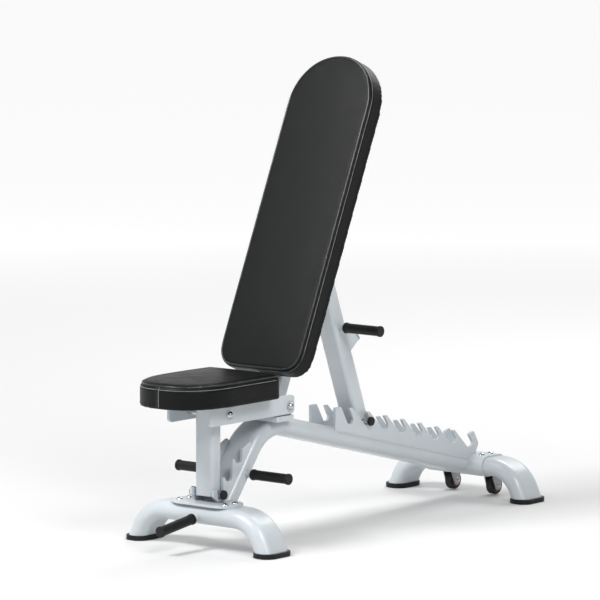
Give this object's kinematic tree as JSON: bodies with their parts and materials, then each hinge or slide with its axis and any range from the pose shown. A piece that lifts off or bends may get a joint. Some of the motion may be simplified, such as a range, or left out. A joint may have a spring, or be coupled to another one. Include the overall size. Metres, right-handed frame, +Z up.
{
  "type": "adjustable weight bench",
  "caption": "Adjustable weight bench: tilting seat on a rack post and a reclining back held by a strut in a notched ladder.",
  "frame": {"origin": "on the floor under the middle of the bench's bounding box", "axes": "+Z up, +Y towards the bench's rear with the casters, +X towards its right"},
  "size_m": [0.5048, 1.365, 1.2533],
  "materials": {
    "frame_paint": "satin powder coat",
    "pad_vinyl": "grained black vinyl",
    "grip_rubber": "matt",
    "cap_rubber": "matt",
    "wheel_tyre": "matt",
    "wheel_hub": "gloss red",
    "caster_zinc": "zinc plated",
    "bolt_chrome": "bright",
    "pin_steel": "plated",
    "board_wood": "plywood under a black dust cover",
    "bumper_rubber": "grey rubber",
    "plug_plastic": "matt"
  },
  "bodies": {
    "frame": {"front_foot_tube": "frame_paint", "rear_foot_tube": "frame_paint", "main_tube": "frame_paint", "front_mount_plate": "frame_paint", "front_mount_bolts": "bolt_chrome", "rear_sleeve": "frame_paint", "rear_sleeve_bolts": "bolt_chrome", "side_grip_bar": "frame_paint", "left_side_grip": "grip_rubber", "right_side_grip": "grip_rubber", "front_handle_bar": "frame_paint", "front_handle_grip": "grip_rubber", "pivot_bracket": "frame_paint", "pivot_bolt": "bolt_chrome", "pivot_bushes": "pin_steel", "caster_axles": "bolt_chrome", "front_left_foot_cap": "cap_rubber", "front_right_foot_cap": "cap_rubber", "rear_left_foot_cap": "cap_rubber", "rear_right_foot_cap": "cap_rubber", "left_seat_rack": "frame_paint", "right_seat_rack": "frame_paint", "left_back_ladder": "frame_paint", "right_back_ladder": "frame_paint", "left_caster_fork": "caster_zinc", "right_caster_fork": "caster_zinc"},
    "seat": {"left_seat_plate": "frame_paint", "right_seat_plate": "frame_paint", "seat_cross_plates": "frame_paint", "seat_board": "board_wood", "seat_pad": "pad_vinyl", "seat_screws": "bolt_chrome", "post_bolt": "bolt_chrome", "post_spacers": "pin_steel"},
    "seat_post": {"seat_post": "frame_paint", "seat_post_pin": "pin_steel", "seat_post_pin_caps": "cap_rubber"},
    "back": {"back_tube": "frame_paint", "back_tube_plugs": "plug_plastic", "lower_back_plate": "frame_paint", "upper_back_plate": "frame_paint", "back_board": "board_wood", "back_pad": "pad_vinyl", "back_screws": "bolt_chrome", "strut_bolt": "bolt_chrome", "left_strut_ear": "frame_paint", "right_strut_ear": "frame_paint"},
    "strut": {"strut": "frame_paint", "strut_handle_bar": "frame_paint", "left_strut_grip": "grip_rubber", "right_strut_grip": "grip_rubber", "strut_pin": "pin_steel", "strut_pin_caps": "cap_rubber", "strut_bumper": "frame_paint", "strut_bumper_cap": "bumper_rubber"},
    "left_wheel": {"left_wheel_tyre": "wheel_tyre", "left_wheel_hub": "wheel_hub"},
    "right_wheel": {"right_wheel_tyre": "wheel_tyre", "right_wheel_hub": "wheel_hub"}
  },
  "joints": [
    {"name": "seat_tilt", "type": "hinge", "parent": "frame", "child": "seat", "pos_m": [0, -0.2359, 0.3498], "axis": [1, 0, 0], "range_deg": [-18.5, 0]},
    {"name": "seat_post_swing", "type": "hinge", "parent": "seat", "child": "seat_post", "pos_m": [0, -0.4808, 0.3542], "axis": [1, 0, 0], "range_deg": [0, 34.83]},
    {"name": "back_recline", "type": "hinge", "parent": "frame", "child": "back", "pos_m": [0, -0.2359, 0.3498], "axis": [1, 0, 0], "range_deg": [-66.2, 6.4]},
    {"name": "strut_swing", "type": "hinge", "parent": "back", "child": "strut", "pos_m": [0, -0.03163, 0.68705], "axis": [1, 0, 0], "range_deg": [-11.3, 116.6]},
    {"name": "left_wheel_roll", "type": "hinge", "parent": "frame", "child": "left_wheel", "pos_m": [-0.072, 0.6575, 0.027], "axis": [1, 0, 0], "continuous": true},
    {"name": "right_wheel_roll", "type": "hinge", "parent": "frame", "child": "right_wheel", "pos_m": [0.072, 0.6575, 0.027], "axis": [1, 0, 0], "continuous": true}
  ],
  "couplings": [
    {"joint": "strut_swing", "follows": "back_recline", "ratio": -1.7608},
    {"joint": "seat_post_swing", "follows": "seat_tilt", "ratio": -1.88}
  ]
}
